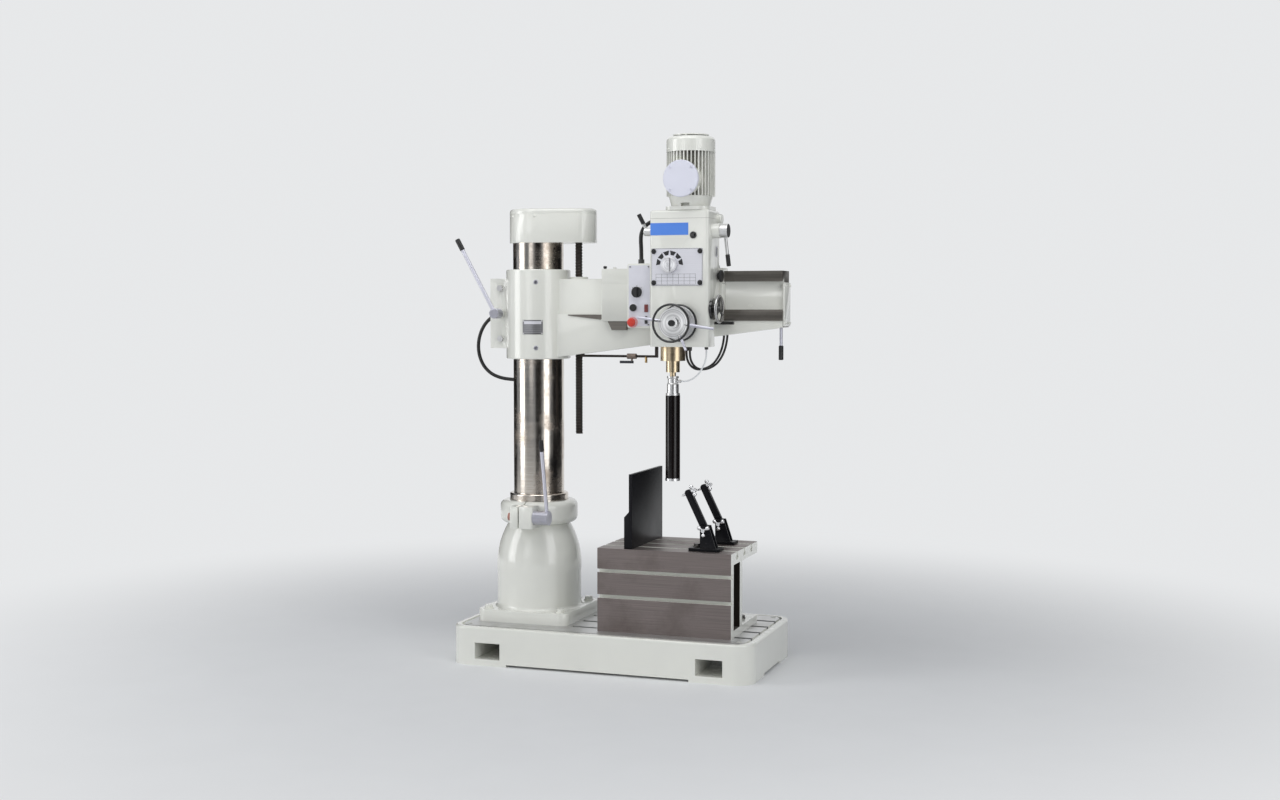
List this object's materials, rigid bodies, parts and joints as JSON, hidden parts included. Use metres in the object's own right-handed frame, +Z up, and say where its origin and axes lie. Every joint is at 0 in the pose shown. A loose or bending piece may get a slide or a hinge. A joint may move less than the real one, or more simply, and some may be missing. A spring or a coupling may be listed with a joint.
{
  "type": "core drilling machine",
  "caption": "Radial-arm drilling machine set up for rock coring: round column, lifting and swinging arm, geared head with core barrel, slotted box table and sample clamps.",
  "frame": {"origin": "centre of the base's anchor bolt pattern, on the floor", "axes": "+X along the arm away from the column, +Y to the back, +Z up"},
  "size_m": [1.4016, 0.7069, 2.12],
  "materials": {
    "cream_paint": "gloss",
    "column_steel": "ground and polished",
    "machined_iron": "ground, satin",
    "steel": "turned",
    "dark_steel": "oiled",
    "golden_steel": "ground, oil-stained",
    "bright_chrome": "polished",
    "black_paint": "satin",
    "black_plastic": "moulded",
    "black_gloss": "moulded",
    "red_plastic": "moulded",
    "blue_plastic": "moulded",
    "pale_cover": "gloss",
    "cable_rubber": "matt",
    "white_tube": "translucent look",
    "bronze": "machined",
    "grey_plastic": "moulded"
  },
  "bodies": {
    "base": {"base_casting": "cream_paint", "pedestal": "cream_paint", "thrust_bearing": "steel", "holding_bolts": "dark_steel", "box_table": "machined_iron", "angle_plate": "black_paint", "clamp_bases": "black_paint"},
    "column_lever": {"column_clamp_lever": "steel", "column_clamp_grip": "black_plastic"},
    "column": {"column_tube": "column_steel", "dust_ring": "machined_iron", "gear_cover": "cream_paint", "gear_cover_lid": "cream_paint", "lift_motor": "black_paint"},
    "lift_screw": {"lift_screw": "dark_steel"},
    "arm": {"arm_casting": "cream_paint", "lift_nut": "bronze", "arm_end_plate": "cream_paint", "arm_clamp_bolts": "steel", "swing_handle": "black_plastic", "water_pipe": "dark_steel", "arm_cable": "cable_rubber", "arm_cable_glands": "grey_plastic"},
    "valve": {"valve_handle": "blue_plastic"},
    "arm_lever": {"arm_clamp_lever": "steel", "arm_clamp_grip": "black_plastic"},
    "head": {"head_housing": "cream_paint", "saddle": "cream_paint", "saddle_keeper": "cream_paint", "motor_frame": "cream_paint", "motor_cowl": "cream_paint", "terminal_box": "pale_cover", "control_box": "cream_paint", "conduit": "cable_rubber", "head_cables": "cable_rubber", "head_glands": "grey_plastic"},
    "motor_rotor": {"motor_fan": "black_plastic"},
    "dial": {"speed_dial": "steel"},
    "right_lever": {"right_shift_lever": "steel"},
    "left_lever": {"left_shift_lever": "steel"},
    "selector": {"selector_knob": "black_plastic"},
    "start": {"start_button": "black_plastic"},
    "stop": {"stop_button": "red_plastic"},
    "lock": {"saddle_lock": "black_plastic"},
    "traverse": {"traverse_handwheel": "black_gloss"},
    "quill": {"quill": "golden_steel", "quill_bearings": "steel", "water_swivel": "bright_chrome", "water_tube": "white_tube"},
    "spindle": {"spindle": "golden_steel", "core_barrel": "black_paint"},
    "feed": {"feed_hub": "steel", "hand_rings": "black_gloss", "feed_levers": "steel"},
    "clamp_front": {"clamp_arm_front": "black_paint"},
    "clamp_rear": {"clamp_arm_rear": "black_paint"},
    "base_star_front": {"base_star_front": "bright_chrome"},
    "base_star_rear": {"base_star_rear": "bright_chrome"},
    "jaw_star_front": {"jaw_star_front": "bright_chrome"},
    "jaw_star_rear": {"jaw_star_rear": "bright_chrome"}
  },
  "joints": [
    {"name": "column_swing", "type": "hinge", "parent": "base", "child": "column", "pos_m": [-0.374, 0, 0.651], "axis": [0, 0, 1], "range_deg": [-120, 120]},
    {"name": "arm_lift", "type": "slide", "parent": "column", "child": "arm", "axis": [0, 0, 1], "range_m": [-0.26, 0.1]},
    {"name": "lift_screw_turn", "type": "hinge", "parent": "column", "child": "lift_screw", "pos_m": [-0.193, 0, 1.7], "axis": [0, 0, 1], "range_deg": [-3060, 7860]},
    {"name": "head_traverse", "type": "slide", "parent": "arm", "child": "head", "axis": [1, 0, 0], "range_m": [0, 0.23]},
    {"name": "traverse_wheel_turn", "type": "hinge", "parent": "head", "child": "traverse", "pos_m": [0.444, -0.215, 1.444], "axis": [1, 0, 0], "range_deg": [-5, 1390]},
    {"name": "quill_feed", "type": "slide", "parent": "head", "child": "quill", "axis": [0, 0, -1], "range_m": [0, 0.2], "deforming": ["water_tube"]},
    {"name": "feed_wheel_turn", "type": "hinge", "parent": "head", "child": "feed", "pos_m": [0.329, -0.26, 1.39], "axis": [0, -1, 0], "range_deg": [-1, 720]},
    {"name": "spindle_turn", "type": "hinge", "parent": "quill", "child": "spindle", "pos_m": [0.268, -0.16, 1.24], "axis": [0, 0, 1], "continuous": true},
    {"name": "motor_turn", "type": "hinge", "parent": "head", "child": "motor_rotor", "pos_m": [0.348, -0.182, 2.06], "axis": [0, 0, 1], "continuous": true},
    {"name": "arm_clamp", "type": "hinge", "parent": "arm", "child": "arm_lever", "pos_m": [-0.526, -0.066, 1.426], "axis": [0, 1, 0], "range_deg": [-35, 25]},
    {"name": "column_clamp", "type": "hinge", "parent": "base", "child": "column_lever", "pos_m": [-0.314, -0.193, 0.595], "axis": [1, 0, 0], "range_deg": [0, 60]},
    {"name": "valve", "type": "hinge", "parent": "arm", "child": "valve", "pos_m": [0.059, -0.056, 1.231], "axis": [0, 0, 1], "range_deg": [0, 90]},
    {"name": "right_shift", "type": "hinge", "parent": "head", "child": "right_lever", "pos_m": [0.464, -0.204, 1.746], "axis": [1, 0, 0], "range_deg": [-30, 30]},
    {"name": "left_shift", "type": "hinge", "parent": "head", "child": "left_lever", "pos_m": [0.204, -0.204, 1.746], "axis": [1, 0, 0], "range_deg": [-25, 25]},
    {"name": "speed_select", "type": "hinge", "parent": "head", "child": "dial", "pos_m": [0.287, -0.26, 1.615], "axis": [0, 1, 0], "range_deg": [-150, 150]},
    {"name": "feed_select", "type": "hinge", "parent": "head", "child": "selector", "pos_m": [0.144, -0.236, 1.51], "axis": [0, 1, 0], "range_deg": [-45, 45]},
    {"name": "start_press", "type": "slide", "parent": "head", "child": "start", "axis": [0, 1, 0], "range_m": [0, 0.006], "stiffness_N_per_m": 600},
    {"name": "stop_press", "type": "slide", "parent": "head", "child": "stop", "axis": [0, 1, 0], "range_m": [0, 0.006], "stiffness_N_per_m": 800},
    {"name": "saddle_lock_turn", "type": "hinge", "parent": "head", "child": "lock", "pos_m": [0.444, -0.132, 1.573], "axis": [1, 0, 0], "range_deg": [-90, 90]},
    {"name": "clamp_front_lean", "type": "hinge", "parent": "base", "child": "clamp_front", "pos_m": [0.406, -0.166, 0.575], "axis": [0, 1, 0], "range_deg": [-5, 50]},
    {"name": "base_star_front_turn", "type": "hinge", "parent": "base", "child": "base_star_front", "pos_m": [0.406, -0.166, 0.575], "axis": [0, 1, 0], "range_deg": [-180, 180]},
    {"name": "jaw_star_front_turn", "type": "hinge", "parent": "clamp_front", "child": "jaw_star_front", "pos_m": [0.33586, -0.166, 0.71881], "axis": [0.8988, 0, 0.4384], "range_deg": [-180, 180]},
    {"name": "clamp_rear_lean", "type": "hinge", "parent": "base", "child": "clamp_rear", "pos_m": [0.406, 0.044, 0.575], "axis": [0, 1, 0], "range_deg": [-5, 50]},
    {"name": "base_star_rear_turn", "type": "hinge", "parent": "base", "child": "base_star_rear", "pos_m": [0.406, 0.044, 0.575], "axis": [0, 1, 0], "range_deg": [-180, 180]},
    {"name": "jaw_star_rear_turn", "type": "hinge", "parent": "clamp_rear", "child": "jaw_star_rear", "pos_m": [0.33586, 0.044, 0.71881], "axis": [0.8988, 0, 0.4384], "range_deg": [-180, 180]}
  ],
  "couplings": [
    {"joint": "lift_screw_turn", "follows": "arm_lift", "rad_per_m": -523.6},
    {"joint": "traverse_wheel_turn", "follows": "head_traverse", "rad_per_m": 104.72},
    {"joint": "feed_wheel_turn", "follows": "quill_feed", "rad_per_m": 62.5},
    {"joint": "motor_turn", "follows": "spindle_turn", "ratio": 3}
  ]
}
